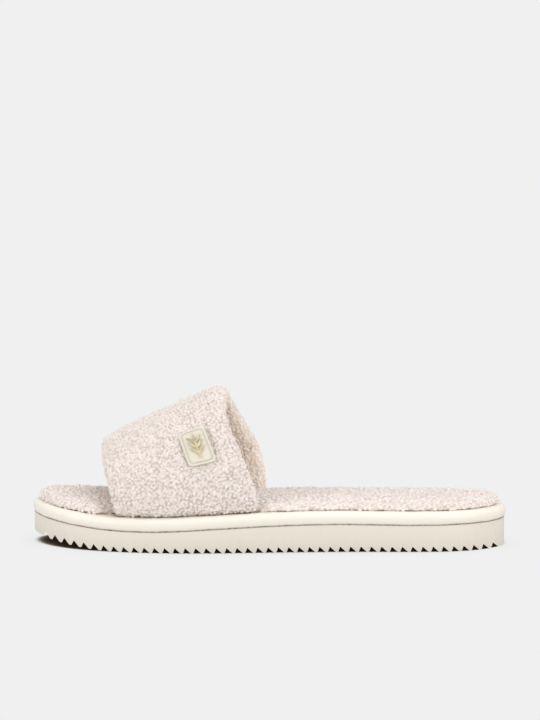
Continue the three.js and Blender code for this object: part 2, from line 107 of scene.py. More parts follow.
def seen_or_lighting(tree, seen, lighting):
    """A strength that has one value where the tone is looked at and another where it lights."""
    node = tree.nodes.new("ShaderNodeMapRange")
    link(tree, tree.nodes.new("ShaderNodeLightPath").outputs["Is Camera Ray"], node.inputs["Value"])
    node.inputs["To Min"].default_value = lighting
    node.inputs["To Max"].default_value = seen
    return node.outputs["Result"]


table_mesh = bpy.data.meshes.new("table")
half = TABLE_SIZE / 2
table_mesh.from_pydata(
    [(-half, -half, 0), (half, -half, 0), (half, half, 0), (-half, half, 0)], [], [(0, 1, 2, 3)]
)
table = bpy.data.objects.new("table", table_mesh)
scene.collection.objects.link(table)
table_finish, tree, out = new_material("pale_table")
# Painted shadow: the table's glow is darkened by how closed in each point is, not by the lamps.
openness = tree.nodes.new("ShaderNodeAmbientOcclusion")
openness.samples = SHADE_SAMPLES
openness.inputs["Distance"].default_value = SHADE_REACH
shade = tree.nodes.new("ShaderNodeValToRGB")
shade_stops = shade.color_ramp.elements
shade_stops[0].position = 0.0
shade_stops[0].color = SHADE_CLOSED
shade_stops[1].position = SHADE_OPEN_FROM
shade_stops[1].color = SHADE_OPEN
for position, colour in SHADE_BETWEEN:
    shade_stops.new(position).color = colour
link(tree, openness.outputs["AO"], shade.inputs["Fac"])
table_glow = tree.nodes.new("ShaderNodeEmission")
link(tree, shade.outputs["Color"], table_glow.inputs["Color"])
link(tree, seen_or_lighting(tree, PALE, TABLE_LIGHT), table_glow.inputs["Strength"])
link(tree, table_glow.outputs[0], out.inputs["Surface"])
table_mesh.materials.append(table_finish)

world = bpy.data.worlds.new("surround")
scene.world = world
world.use_nodes = True
surround = world.node_tree.nodes["Background"]
surround.inputs["Color"].default_value = (1, 1, 1, 1)
link(
    world.node_tree, seen_or_lighting(world.node_tree, PALE, SURROUND_LIGHT),
    surround.inputs["Strength"],
)


def softbox(name, place, aim, width, height, watts, colour):
    """A rectangular area light hung at a place and turned towards a point."""
    data = bpy.data.lights.new(name, "AREA")
    data.shape = "RECTANGLE"
    data.size = width
    data.size_y = height
    data.energy = watts
    data.color = colour
    lamp = bpy.data.objects.new(name, data)
    scene.collection.objects.link(lamp)
    lamp.location = place
    lamp.rotation_euler = (Vector(aim) - Vector(place)).to_track_quat("-Z", "Y").to_euler()


softbox("overhead", (0.4, 0.1, 1.4), (0, 0, 0.03), 1.2, 1.0, 6.0, (1.0, 1.0, 0.99))
softbox("front", (0.1, -1.7, 0.8), (0, 0, 0.03), 1.5, 0.8, 3.0, (1.0, 0.995, 0.985))
softbox("heel", (1.0, -1.0, 0.35), (0, 0, 0.05), 0.8, 0.6, 7.0, (1.0, 0.985, 0.965))
softbox("toe", (-1.2, -0.7, 0.5), (0, 0, 0.03), 0.8, 0.6, 7.7, (1.0, 0.99, 0.985))

# ---- Outsole -----------------------------------------------------------------------------------
# One piece of moulded foam rubber in beige cream, with a near-vertical side wall and a saw-tooth
# tread. The mould leaves its edges slightly rounded and its skin finely grained.
WELD_WITHIN = 1e-6
EDGE_ROUNDING = 0.22 * MM
FLAT_WITHIN = math.radians(0.6)
EDGE_OVER = math.radians(25)
SOLE_CREASE = 38


def piece_from(node, name):
    """A new object with a CAD node's welded mesh."""
    bm = bmesh.new()
    bm.from_mesh(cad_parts[node].data)
    bmesh.ops.remove_doubles(bm, verts=bm.verts, dist=WELD_WITHIN)
    mesh = bpy.data.meshes.new(name)
    bm.to_mesh(mesh)
    bm.free()
    piece = bpy.data.objects.new(name, mesh)
    scene.collection.objects.link(piece)
    return piece


def bake_modifiers(piece):
    """Puts the piece's modifiers into its mesh."""
    shown = piece.evaluated_get(bpy.context.evaluated_depsgraph_get())
    mesh = bpy.data.meshes.new_from_object(shown)
    piece.modifiers.clear()
    piece.data = mesh
    mesh.name = piece.name


def shade_smooth(piece, angle=None):
    """Smooth shading all over, or with creases sharper than an angle kept."""
    mesh = piece.data
    mesh.shade_smooth()
    if angle is not None:
        mesh.set_sharp_from_angle(angle=math.radians(angle))


def group_with(name, inputs, outputs):
    """An empty shader node group with named sockets: the group, its input and its output node."""
    group = bpy.data.node_groups.new(name, "ShaderNodeTree")
    for socket, kind, value in inputs:
        made = group.interface.new_socket(socket, in_out="INPUT", socket_type=kind)
        if value is not None:
            made.default_value = value
    for socket, kind in outputs:
        group.interface.new_socket(socket, in_out="OUTPUT", socket_type=kind)
    return group, group.nodes.new("NodeGroupInput"), group.nodes.new("NodeGroupOutput")


def object_place(tree):
    """The socket with a point's place on the object, in metres."""
    return tree.nodes.new("ShaderNodeTexCoord").outputs["Object"]


def maths(tree, operation, first, second):
    """A Math node on two sockets or numbers; returns its output."""
    node = tree.nodes.new("ShaderNodeMath")
    node.operation = operation
    for socket, value in zip(node.inputs, (first, second)):
        if isinstance(value, (int, float)):
            socket.default_value = value
        else:
            link(tree, value, socket)
    return node.outputs[0]


def build_moulded_skin():
    """Group: the fine grain of a moulded or coated skin, with faint handling marks."""
    group, given, result = group_with(
        "moulded_skin",
        [
            ("Grain Scale", "NodeSocketFloat", 1800.0),
            ("Mottle Scale", "NodeSocketFloat", 60.0),
            ("Low Roughness", "NodeSocketFloat", 0.5),
            ("High Roughness", "NodeSocketFloat", 0.7),
        ],
        [
            ("Height", "NodeSocketFloat"),
            ("Mottle", "NodeSocketFloat"),
            ("Roughness", "NodeSocketFloat"),
        ],
    )
    place = object_place(group)
    grain = group.nodes.new("ShaderNodeTexVoronoi")
    grain.feature = "SMOOTH_F1"
    link(group, place, grain.inputs["Vector"])
    link(group, given.outputs["Grain Scale"], grain.inputs["Scale"])
    pores = group.nodes.new("ShaderNodeTexNoise")
    pores.inputs["Detail"].default_value = 4
    link(group, place, pores.inputs["Vector"])
    link(group, given.outputs["Grain Scale"], pores.inputs["Scale"])
    mottle = group.nodes.new("ShaderNodeTexNoise")
    mottle.inputs["Detail"].default_value = 3
    link(group, place, mottle.inputs["Vector"])
    link(group, given.outputs["Mottle Scale"], mottle.inputs["Scale"])
    height = maths(group, "ADD", grain.outputs["Distance"], pores.outputs["Fac"])
    link(group, height, result.inputs["Height"])
    link(group, mottle.outputs["Fac"], result.inputs["Mottle"])
    spread = group.nodes.new("ShaderNodeMapRange")
    link(group, mottle.outputs["Fac"], spread.inputs["Value"])
    spread.inputs["From Min"].default_value = 0.3
    spread.inputs["From Max"].default_value = 0.7
    link(group, given.outputs["Low Roughness"], spread.inputs["To Min"])
    link(group, given.outputs["High Roughness"], spread.inputs["To Max"])
    link(group, spread.outputs["Result"], result.inputs["Roughness"])
    return group


moulded_skin = build_moulded_skin()


def place_group(tree, group, values):
    """Puts a node group in a material with its own values."""
    node = tree.nodes.new("ShaderNodeGroup")
    node.node_tree = group
    for name, value in values.items():
        node.inputs[name].default_value = value
    return node


def colour_mix(tree, mask, first, second):
    """Mixes two colours, each a socket or (r, g, b), by a mask; returns the colour socket."""
    mix = tree.nodes.new("ShaderNodeMix")
    mix.data_type = "RGBA"
    link(tree, mask, mix.inputs["Factor"])
    for socket, value in ((mix.inputs[6], first), (mix.inputs[7], second)):
        if isinstance(value, tuple):
            socket.default_value = (*value, 1)
        else:
            link(tree, value, socket)
    return mix.outputs[2]


def bump(tree, height, distance, strength=1.0):
    """A Bump node over a height socket; returns its normal."""
    node = tree.nodes.new("ShaderNodeBump")
    node.inputs["Distance"].default_value = distance
    node.inputs["Strength"].default_value = strength
    link(tree, height, node.inputs["Height"])
    return node.outputs["Normal"]


def principled(tree, out, **values):
    """A Principled shader on the output, with constant values on its own sockets."""
    shader = tree.nodes.new("ShaderNodeBsdfPrincipled")
    for name, value in values.items():
        shader.inputs[name.replace("_", " ")].default_value = value
    link(tree, shader.outputs[0], out.inputs["Surface"])
    return shader


def skin_material(name, light, deep, grain, mottle, roughness, depth):
    """A grained skin of two near tones: moulded foam rubber or leatherette."""
    material, tree, out = new_material(name)
    skin = place_group(tree, moulded_skin, {
        "Grain Scale": grain,
        "Mottle Scale": mottle,
        "Low Roughness": roughness[0],
        "High Roughness": roughness[1],
    })
    shader = principled(tree, out)
    link(tree, colour_mix(tree, skin.outputs["Mottle"], deep, light), shader.inputs["Base Color"])
    link(tree, skin.outputs["Roughness"], shader.inputs["Roughness"])
    link(tree, bump(tree, skin.outputs["Height"], depth), shader.inputs["Normal"])
    return material


def stand_for(piece, material, slot, *nodes):
    """Finishes a piece: its material, its body and the CAD nodes it stands for, which it hides.
    slot is not used.
    """
    piece.data.materials.clear()
    piece.data.materials.append(material)
    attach(piece, "root")
    if nodes:
        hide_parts(*nodes)


foam_rubber = skin_material(
    "foam_rubber", light=(0.745, 0.695, 0.61), deep=(0.72, 0.665, 0.58), grain=1500.0, mottle=45.0,
    roughness=(0.5, 0.66), depth=0.03 * MM,
)

outsole = piece_from("outsole", "outsole_moulding")
merged = outsole.modifiers.new("merged", "DECIMATE")
merged.decimate_type = "DISSOLVE"
merged.angle_limit = FLAT_WITHIN
rounding = outsole.modifiers.new("rounding", "BEVEL")
rounding.width = EDGE_ROUNDING
rounding.segments = 2
rounding.limit_method = "ANGLE"
rounding.angle_limit = EDGE_OVER
bake_modifiers(outsole)
shade_smooth(outsole, SOLE_CREASE)
stand_for(outsole, foam_rubber, "sole", "outsole")

# ---- Rand --------------------------------------------------------------------------------------
# An ivory leatherette strip wrapped round the footbed's edge, plump over the foam inside it, with
# its lower margin turned under and sewn to the sole.
RAND_WAVE = 0.12 * MM
RAND_RIPPLES = 61
RAND_RIPPLE_DRIFT = 7
RAND_PUCKERS = 23
QUAD_ANGLE = math.radians(60)


def quads_from(piece):
    """Pairs the CAD mesh's triangles into quads, so that it subdivides evenly."""
    bm = bmesh.new()
    bm.from_mesh(piece.data)
    bmesh.ops.join_triangles(
        bm, faces=bm.faces, angle_face_threshold=QUAD_ANGLE, angle_shape_threshold=QUAD_ANGLE,
    )
    bm.to_mesh(piece.data)
    bm.free()


def vertex_array(mesh, field):
    """A mesh's vertex places or normals as an array of rows."""
    values = np.empty(len(mesh.vertices) * 3, np.float32)
    if field == "co":
        mesh.vertices.foreach_get("co", values)
    else:
        mesh.vertex_normals.foreach_get("vector", values)
    return values.reshape(-1, 3).astype(float)


def set_places(mesh, places):
    """Writes the vertices' places back into a mesh."""
    mesh.vertices.foreach_set("co", places.astype(np.float32).ravel())
    mesh.update()


leatherette = skin_material(
    "leatherette", light=(0.875, 0.825, 0.735), deep=(0.855, 0.80, 0.71), grain=1100.0, mottle=38.0,
    roughness=(0.36, 0.5), depth=0.02 * MM,
)

rand = piece_from("rand", "rand_wrap")
quads_from(rand)
smoothing = rand.modifiers.new("smoothing", "SUBSURF")
smoothing.levels = 2
bake_modifiers(rand)
places = vertex_array(rand.data, "co")
normals = vertex_array(rand.data, "normal")
around = np.arctan2(places[:, 1], places[:, 0])
ripple = np.sin(around * RAND_RIPPLES + 3 * np.sin(around * RAND_RIPPLE_DRIFT))
wave = ripple * np.sin(around * RAND_PUCKERS + 1.3)
set_places(rand.data, places + normals * (RAND_WAVE * wave)[:, None])
shade_smooth(rand)
stand_for(rand, leatherette, "leatherette", "rand")

# ---- Rand stitching ----------------------------------------------------------------------------
# A lockstitch of waxed brown-grey thread in the groove between rand and sole, each stitch dipping
# into the leatherette at both ends.
RAND_STITCH = 2.4 * MM
RAND_STITCH_GAP = 1.0 * MM
RAND_THREAD_RADIUS = 0.15 * MM
RAND_DIP = 0.3 * MM
RAND_LINE_POINTS = 150
SOLE_MIDDLE_REACH = 0.09
STITCH_POINTS = 8
STITCH_END_TAPER = 0.55
PLY_SCALE = 700
PLY_DEPTH = 0.08 * MM


def piece_mesh(node):
    """A CAD node's mesh."""
    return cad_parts[node].data


def middle_line(node, angle_of, count):
    """The middle line of a CAD thread, as evenly spaced points sorted by an angle."""
    places = vertex_array(piece_mesh(node), "co")
    angles = angle_of(places)
    places = places[np.argsort(angles)]
    angles = np.sort(angles)
    edges = np.linspace(angles[0], angles[-1], count + 1)
    line = []
    for low, high in zip(edges[:-1], edges[1:]):
        inside = (angles >= low) & (angles <= high)
        if inside.any():
            line.append(places[inside].mean(0))
    return np.array(line)


def resampled(line, step, closed=False):
    """The line as points a fixed distance apart."""
    if closed:
        line = np.vstack([line, line[:1]])
    lengths = np.concatenate([[0], np.cumsum(np.linalg.norm(np.diff(line, axis=0), axis=1))])
    count = max(2, int(round(lengths[-1] / step)))
    stations = np.linspace(0, lengths[-1], count, endpoint=not closed)
    return np.stack([np.interp(stations, lengths, line[:, k]) for k in range(3)], axis=1)


def stitch_tube(vertices, faces, path, out, radius, dip, sides=6):
    """Adds one stitch: a rounded tube along a short path, sunk at both ends."""
    count = len(path)
    first = len(vertices)
    for i, point in enumerate(path):
        ahead = Vector(path[min(i + 1, count - 1)]) - Vector(path[max(i - 1, 0)])
        ahead.normalize()
        side = ahead.cross(out).normalized()
        lift = side.cross(ahead).normalized()
        part = 2 * i / (count - 1) - 1
        middle = Vector(point) - out * dip * part ** 4
        width = radius * (1 - STITCH_END_TAPER * part ** 6)
        for k in range(sides):
            angle = 2 * math.pi * k / sides
            across = side * width * math.cos(angle)
            vertices.append(middle + across + lift * width * math.sin(angle))
    for i in range(count - 1):
        for k in range(sides):
            a = first + i * sides + k
            b = first + i * sides + (k + 1) % sides
            faces.append((a, b, b + sides, a + sides))
    faces.append(tuple(first + k for k in reversed(range(sides))))
    faces.append(tuple(first + (count - 1) * sides + k for k in range(sides)))


def stitch_row(name, line, out_of, length, gap, radius, dip, closed=False):
    """A row of separate stitches along a line, as one piece."""
    step = (length + gap) / STITCH_POINTS
    points = resampled(line, step, closed)
    stitch_points = max(4, int(round(length / step)) + 1)
    vertices, faces = [], []
    for start in range(0, len(points) - stitch_points, STITCH_POINTS):
        path = points[start:start + stitch_points]
        middle = Vector(path[len(path) // 2])
        stitch_tube(vertices, faces, path, out_of(middle), radius, dip)
    mesh = bpy.data.meshes.new(name)
    mesh.from_pydata([tuple(v) for v in vertices], [], faces)
    piece = bpy.data.objects.new(name, mesh)
    scene.collection.objects.link(piece)
    shade_smooth(piece, 60)
    return piece


def thread_material(name, light, deep):
    """Twisted sewing thread: slanting plies in two tones, with a soft shine."""
    material, tree, out = new_material(name)
    wave = tree.nodes.new("ShaderNodeTexWave")
    wave.wave_type = "BANDS"
    wave.bands_direction = "DIAGONAL"
    wave.inputs["Scale"].default_value = PLY_SCALE
    wave.inputs["Distortion"].default_value = 1.5
    link(tree, object_place(tree), wave.inputs["Vector"])
    shader = principled(tree, out, Roughness=0.6, Sheen_Weight=0.2)
    link(tree, colour_mix(tree, wave.outputs["Fac"], deep, light), shader.inputs["Base Color"])
    link(tree, bump(tree, wave.outputs["Fac"], PLY_DEPTH), shader.inputs["Normal"])
    return material


waxed_thread = thread_material("waxed_thread", light=(0.57, 0.51, 0.42), deep=(0.44, 0.385, 0.31))
rand_line = middle_line(
    "rand_thread", lambda p: np.arctan2(p[:, 1], p[:, 0]), RAND_LINE_POINTS
)


def away_from_middle(point):
    """The level direction out of the slipper at a point on its edge."""
    along = max(-SOLE_MIDDLE_REACH, min(SOLE_MIDDLE_REACH, point.x))
    nearest = Vector((along, 0, point.z))
    return (point - nearest).normalized()


rand_stitches = stitch_row(
    "rand_stitches", rand_line, away_from_middle, RAND_STITCH, RAND_STITCH_GAP,
    RAND_THREAD_RADIUS, RAND_DIP, closed=True,
)
stand_for(rand_stitches, waxed_thread, "dark_thread", "rand_thread")

# ---- Fleece ------------------------------------------------------------------------------------
# Boucle fleece: short curled loops of yarn in small round tufts, pinkish beige, with deeper gaps
# between them whose darker colour is painted shade. Each piece is first plumped up over its
# stuffing, then its pile is raised as real shape on its own skin.
PRESSURE = 4.0
SIMULATED_FRAMES = 20
TUFT_SIZES = (0.78, 1.15)
TUFT_LIFTS = (0.5, 1.0)
TUFT_LEAN = 0.22
TUFT_SPREAD = 0.74
TUFT_FRIZZ = 0.09
FIBRE_LENGTH_MM = (0.7, 1.5)
FIBRE_BEND = (0.8, 2.6)
FIBRE_RINGS = 4
FIBRE_SIDES = 3
FUZZ_SCALE = 1500
LOOP_SCALE = 1100
# Pile height from which the full tip colour shows; below it the painted shade of the roots comes
# in.
TIP_HEIGHT = 0.62
CURL_DEPTH = 0.45 * MM


def plumped(piece, held, cap):
    """Blows a soft piece up with a short cloth simulation. held lists how firmly each vertex is
    sewn or glued in place, cap is the furthest that one may move."""
    mesh = piece.data
    start = vertex_array(mesh, "co")
    group = piece.vertex_groups.new(name="held")
    for index, weight in enumerate(held):
        group.add([index], float(weight), "REPLACE")
    cloth = piece.modifiers.new("stuffing", "CLOTH")
    cloth.settings.quality = 6
    cloth.settings.use_pressure = True
    cloth.settings.uniform_pressure_force = PRESSURE
    cloth.settings.vertex_group_mass = "held"
    cloth.settings.effector_weights.gravity = 0
    cloth.collision_settings.use_collision = False
    cloth.point_cache.frame_start = 1
    cloth.point_cache.frame_end = SIMULATED_FRAMES
    for number in range(1, SIMULATED_FRAMES + 1):
        scene.frame_set(number)
    bake_modifiers(piece)
    moved = vertex_array(piece.data, "co") - start
    length = np.linalg.norm(moved, axis=1)
    moved *= np.minimum(1, cap / np.maximum(length, 1e-9))[:, None]
    set_places(piece.data, start + moved)
    piece.vertex_groups.clear()
    scene.frame_set(1)


def subdivided(piece):
    """Subdivides a CAD mesh once, smoothly, kept close to its own shape."""
    quads_from(piece)
    smoothing = piece.modifiers.new("smoothing", "SUBSURF")
    smoothing.levels = 1
    bake_modifiers(piece)


def smoothed_near(piece, weights, rounds):
    """Smooths a piece only where its weights are above 0, to close the grooves that sewing
    threads lie in."""
    group = piece.vertex_groups.new(name="near_rows")
    for index in np.nonzero(weights > 0)[0]:
        group.add([int(index)], float(weights[index]), "REPLACE")
    soften = piece.modifiers.new("close", "SMOOTH")
    soften.iterations = rounds
    soften.factor = 0.5
    soften.vertex_group = "near_rows"
    bake_modifiers(piece)
    piece.vertex_groups.clear()


def even_skin(piece, voxel, rounds):
    """Rebuilds a piece's mesh with even small faces and soft edges."""
    remesh = piece.modifiers.new("even", "REMESH")
    remesh.mode = "VOXEL"
    remesh.voxel_size = voxel
    soften = piece.modifiers.new("soften", "SMOOTH")
    soften.iterations = rounds
    soften.factor = 0.5
    bake_modifiers(piece)


def near_mask(places, node, width, full=0.0):
    """1 up to a distance from a CAD node's surface, falling smoothly to 0 over a width."""
    mesh = piece_mesh(node)
    tree = BVHTree.FromPolygons(
        [tuple(v.co) for v in mesh.vertices], [tuple(p.vertices) for p in mesh.polygons]
    )
    result = np.zeros(len(places))
    for i, place in enumerate(places):
        found = tree.find_nearest(Vector(place), full + width)
        if found[0] is not None:
            part = min(1.0, 1 - (found[3] - full) / width)
            result[i] = part * part * (3 - 2 * part)
    return result


def scattered(places, spacing, seed):
    """Indices of points picked at random, none closer together than the spacing."""
    order = np.random.default_rng(seed).permutation(len(places))
    cells = {}
    picked = []
    keys = np.floor(places / spacing).astype(int)
    near = [(i, j, k) for i in (-1, 0, 1) for j in (-1, 0, 1) for k in (-1, 0, 1)]
    for index in order:
        x, y, z = keys[index]
        point = places[index]
        taken = any(
            (other[0] - point[0]) ** 2 + (other[1] - point[1]) ** 2 + (other[2] - point[2]) ** 2
            < spacing ** 2
            for i, j, k in near
            for other in cells.get((x + i, y + j, z + k), ())
        )
        if not taken:
            cells.setdefault((x, y, z), []).append(point)
            picked.append(index)
    return np.array(picked)


def write_mask(mesh, name, values):
    """Stores one number per vertex for the material to read."""
    layer = mesh.attributes.new(name, "FLOAT", "POINT")
    layer.data.foreach_set("value", values.astype(np.float32))


def tuft_pile(piece, spacing, height, seed, reach=None):
    """Raises small leaning tufts over a skin. reach scales the pile at each vertex. Writes the
    pile's height and a random tone for each tuft into the mesh, for its material."""
    mesh = piece.data
    places = vertex_array(mesh, "co")
    normals = vertex_array(mesh, "normal")
    reach = np.ones(len(places)) if reach is None else reach
    picked = scattered(places, spacing, seed)
    random = np.random.default_rng(seed + 1)
    size = random.uniform(*TUFT_SIZES, len(picked))
    lift = random.uniform(*TUFT_LIFTS, len(picked))
    tone = random.uniform(0.0, 1.0, len(picked))
    lean = random.normal(0, TUFT_LEAN * spacing, (len(picked), 3))
    tree = KDTree(len(picked))
    for i, index in enumerate(picked):
        tree.insert(places[index], i)
    tree.balance()
    rise = np.zeros(len(places))
    tones = np.zeros(len(places))
    swept = np.zeros((len(places), 3))
    for v, place in enumerate(places):
        for _, i, distance in tree.find_n(place, 3):
            part = distance / (TUFT_SPREAD * spacing * size[i])
            dome = lift[i] * math.sqrt(max(0.0, 1 - part * part))
            if dome >= rise[v]:
                rise[v] = dome
                tones[v] = tone[i]
                swept[v] = lean[i]
    frizz = random.normal(0, TUFT_FRIZZ, len(places))
    out = normals * (height * (rise + frizz) * reach)[:, None]
    set_places(mesh, places + out + swept * (rise * reach)[:, None])
    write_mask(mesh, "pile_height", rise)
    write_mask(mesh, "tuft_tone", tones)


def fleece_material(name, tip, root, blush, painted_warm_glow, painted_glow_root):
    """Curled pile: paler tips, and roots painted darker as painted shade deep in the pile, a slight
    blush from tuft to tuft, a paler, warmer tone painted where the fleece faces into the slipper as
    painted light bouncing inside it, fuzzy sheen."""
    material, tree, out = new_material(name)
    masks = {}
    for mask in ("pile_height", "tuft_tone", "inward_painted_glow"):
        masks[mask] = tree.nodes.new("ShaderNodeAttribute")
        masks[mask].attribute_name = mask
    place = object_place(tree)
    fuzz = tree.nodes.new("ShaderNodeTexNoise")
    fuzz.inputs["Scale"].default_value = FUZZ_SCALE
    fuzz.inputs["Detail"].default_value = 5
    fuzz.inputs["Roughness"].default_value = 0.65
    fuzz.inputs["Distortion"].default_value = 0.8
    link(tree, place, fuzz.inputs["Vector"])
    loops = tree.nodes.new("ShaderNodeTexVoronoi")
    loops.feature = "F1"
    loops.inputs["Scale"].default_value = LOOP_SCALE
    link(tree, place, loops.inputs["Vector"])
    tips = colour_mix(tree, masks["tuft_tone"].outputs["Fac"], tip, blush)
    # Painted light: tips facing into the slipper are paler and warmer, for light bouncing inside
    # it.
    tips = colour_mix(tree, masks["inward_painted_glow"].outputs["Fac"], tips, painted_warm_glow)
    # Painted shade: the colour darkens from the tips down to the roots as the pile height falls.
    depth = tree.nodes.new("ShaderNodeMapRange")
    depth.inputs["From Min"].default_value = 0.0
    depth.inputs["From Max"].default_value = TIP_HEIGHT
    link(tree, masks["pile_height"].outputs["Fac"], depth.inputs["Value"])
    shader = principled(
        tree, out, Roughness=0.95, Sheen_Weight=0.3, Sheen_Roughness=0.6,
        Specular_IOR_Level=0.1, Subsurface_Weight=0.12, Subsurface_Scale=1.0 * MM,
        Subsurface_Radius=(1.0, 0.8, 0.65),
    )
    # Painted light at the roots too: warmer where they face into the slipper.
    roots = colour_mix(tree, masks["inward_painted_glow"].outputs["Fac"], root, painted_glow_root)
    link(tree, colour_mix(tree, depth.outputs["Result"], roots, tips), shader.inputs["Base Color"])
    curls = maths(tree, "ADD", fuzz.outputs["Fac"], loops.outputs["Distance"])
    link(tree, bump(tree, curls, CURL_DEPTH, 0.9), shader.inputs["Normal"])
    return material


def loose_fibres(name, piece, count, radius, seed, reach=None):
    """Fine hairs that stand out of a pile: short thin curls rooted at random on its skin."""
    random = np.random.default_rng(seed)
    places = vertex_array(piece.data, "co")
    normals = vertex_array(piece.data, "normal")
    chance = np.ones(len(places)) if reach is None else np.clip(reach, 0, 1)
    roots = random.choice(len(places), count, replace=False, p=chance / chance.sum())
    place, out = places[roots], normals[roots]
    ahead = np.cross(out, random.normal(size=(count, 3)))
    ahead /= np.linalg.norm(ahead, axis=1)[:, None]
    side = np.cross(ahead, out)
    length = random.uniform(*FIBRE_LENGTH_MM, count) * MM
    bend = random.uniform(*FIBRE_BEND, count)
    points = []
    for ring in range(FIBRE_RINGS):
        part = ring / (FIBRE_RINGS - 1)
        turn = 0.5 + bend * part
        centre = (
            place + out * (length * (0.1 + 0.75 * np.sin(turn) - 0.36))[:, None]
            + ahead * (length * 0.75 * (1 - np.cos(turn)))[:, None]
        )
        for corner in range(FIBRE_SIDES):
            angle = 2 * math.pi * corner / FIBRE_SIDES
            away = side * math.cos(angle) + out * math.sin(angle)
            points.append(centre + away * radius * (1 - 0.6 * part))
    stride = FIBRE_RINGS * FIBRE_SIDES
    vertices = np.stack(points, axis=1).reshape(-1, 3)
    pattern = []
    for ring in range(FIBRE_RINGS - 1):
        low = ring * FIBRE_SIDES
        high = low + FIBRE_SIDES
        for k in range(FIBRE_SIDES):
            after = (k + 1) % FIBRE_SIDES
            pattern.append((low + k, low + after, high + after, high + k))
    faces = (np.array(pattern)[None] + (np.arange(count) * stride)[:, None, None]).reshape(-1, 4)
    mesh = bpy.data.meshes.new(name)
    mesh.from_pydata(vertices.tolist(), [], faces.tolist())
    fibres = bpy.data.objects.new(name, mesh)
    scene.collection.objects.link(fibres)
    shade_smooth(fibres)
    return fibres


FIBRE_RADIUS = 0.06 * MM
fibre, tree, out = new_material("fibre")
principled(
    tree, out, Base_Color=(0.93, 0.85, 0.80, 1), Roughness=0.9, Sheen_Weight=0.3,
    Specular_IOR_Level=0.1,
)
# root is painted shade: a darker colour deep in the pile, between the tufts.
boucle = fleece_material(
    "boucle", tip=(0.925, 0.85, 0.80), root=(0.72, 0.615, 0.56), blush=(0.925, 0.82, 0.76),
    painted_warm_glow=(1.0, 0.89, 0.79), painted_glow_root=(0.93, 0.77, 0.665),
)
# Painted light: the lining's tips are paler than the outer fleece's, for light bouncing inside the
# band; its darker roots are painted shade.
boucle_lining = fleece_material(
    "boucle_lining", tip=(1.0, 0.90, 0.81), root=(0.76, 0.62, 0.53), blush=(0.96, 0.83, 0.73),
    painted_warm_glow=(1.0, 0.88, 0.78), painted_glow_root=(0.80, 0.65, 0.55),
)

# ---- Insole sock -------------------------------------------------------------------------------
# The fleece-covered pad that the foot stands on, plump to its edge, where it meets the rand.
SOCK_TUFT = 1.55 * MM
SOCK_PILE = 0.8 * MM
SOCK_SWELL = 0.8 * MM
SOCK_SKIN = 0.66 * MM
SOCK_FREE_FROM = 0.2
SOCK_FREE_OVER = 0.6
SOCK_FIBRES = 7000

sock = piece_from("sock_fleece", "insole_sock")
subdivided(sock)
upward = vertex_array(sock.data, "normal")[:, 2]
plumped(sock, np.clip(1 - (upward - SOCK_FREE_FROM) / SOCK_FREE_OVER, 0, 1), SOCK_SWELL)
even_skin(sock, SOCK_SKIN, 7)
tuft_pile(sock, SOCK_TUFT, SOCK_PILE, seed=11)
shade_smooth(sock)
stand_for(sock, boucle, "fleece", "sock_fleece")
sock_fibres = loose_fibres("sock_fibres", sock, SOCK_FIBRES, FIBRE_RADIUS, seed=12)
stand_for(sock_fibres, fibre, "fleece")

# ---- Band over the foot ------------------------------------------------------------------------
# One strip of the same fleece, folded in at the front and rear edges over a thin foam, puffed
# between the stitch rows that hold the folds. It runs down inside the rand on both sides.
BAND_TUFT = 1.38 * MM
BAND_PILE = 1.0 * MM
BAND_SWELL = 0.7 * MM
BAND_SETTLE = 0.55 * MM
BAND_SKIN = 0.57 * MM
BAND_FIBRES = 9000
BAND_HELD_BELOW = 0.026
ROW_ROUNDS = 60
ARCH_AXIS_HEIGHT = 0.02
SHOWN_STITCHES_ABOVE = 0.053


def inward_painted_glow_mask(piece):
    """1 where a band's skin faces the foot, 0 where it faces out. It marks the painted light: a
    paler, warmer tone standing in for light bouncing inside the slipper.
    """
    places = vertex_array(piece.data, "co")
    normals = vertex_array(piece.data, "normal")
    inward_painted_glow = -(normals[:, 1] * places[:, 1] + normals[:, 2] * (places[:, 2] - ARCH_AXIS_HEIGHT))
    return np.clip(0.35 + inward_painted_glow / 0.02, 0, 1)


band = piece_from("upper_outer_fleece", "band_fleece")
subdivided(band)
places = vertex_array(band.data, "co")
held = np.maximum.reduce([
    near_mask(places, "upper_foam", 1.0 * MM, 0.6 * MM),
    near_mask(places, "upper_lining_fleece", 1.0 * MM, 0.6 * MM),
    near_mask(places, "label_patch", 3 * MM, 0.8 * MM),
    np.clip((BAND_HELD_BELOW - places[:, 2]) / (4 * MM), 0, 1),
])
plumped(band, held, BAND_SWELL)
even_skin(band, BAND_SKIN, 6)
places = vertex_array(band.data, "co")
sewn_rows = np.maximum(
    near_mask(places, "front_hem_thread", 2.5 * MM, 1.5 * MM),
    near_mask(places, "rear_hem_thread", 2.5 * MM, 1.5 * MM),
)
smoothed_near(band, sewn_rows, ROW_ROUNDS)
places = vertex_array(band.data, "co")
normals = vertex_array(band.data, "normal")
inside_fold = near_mask(places, "upper_foam", 1.2 * MM)
rear_row = near_mask(places, "rear_hem_thread", 2.2 * MM)
by_label = near_mask(places, "label_patch", 8 * MM) * (places[:, 2] > SHOWN_STITCHES_ABOVE)
under_label = near_mask(places, "label_patch", 2.5 * MM)
sunk = BAND_SETTLE * (1 - inside_fold) + 0.5 * MM * rear_row * by_label
set_places(band.data, places - normals * sunk[:, None])
band_reach = (1 - inside_fold) * (1 - 0.85 * under_label) * (1 - 0.8 * rear_row * by_label)
tuft_pile(band, BAND_TUFT, BAND_PILE, seed=23, reach=band_reach)
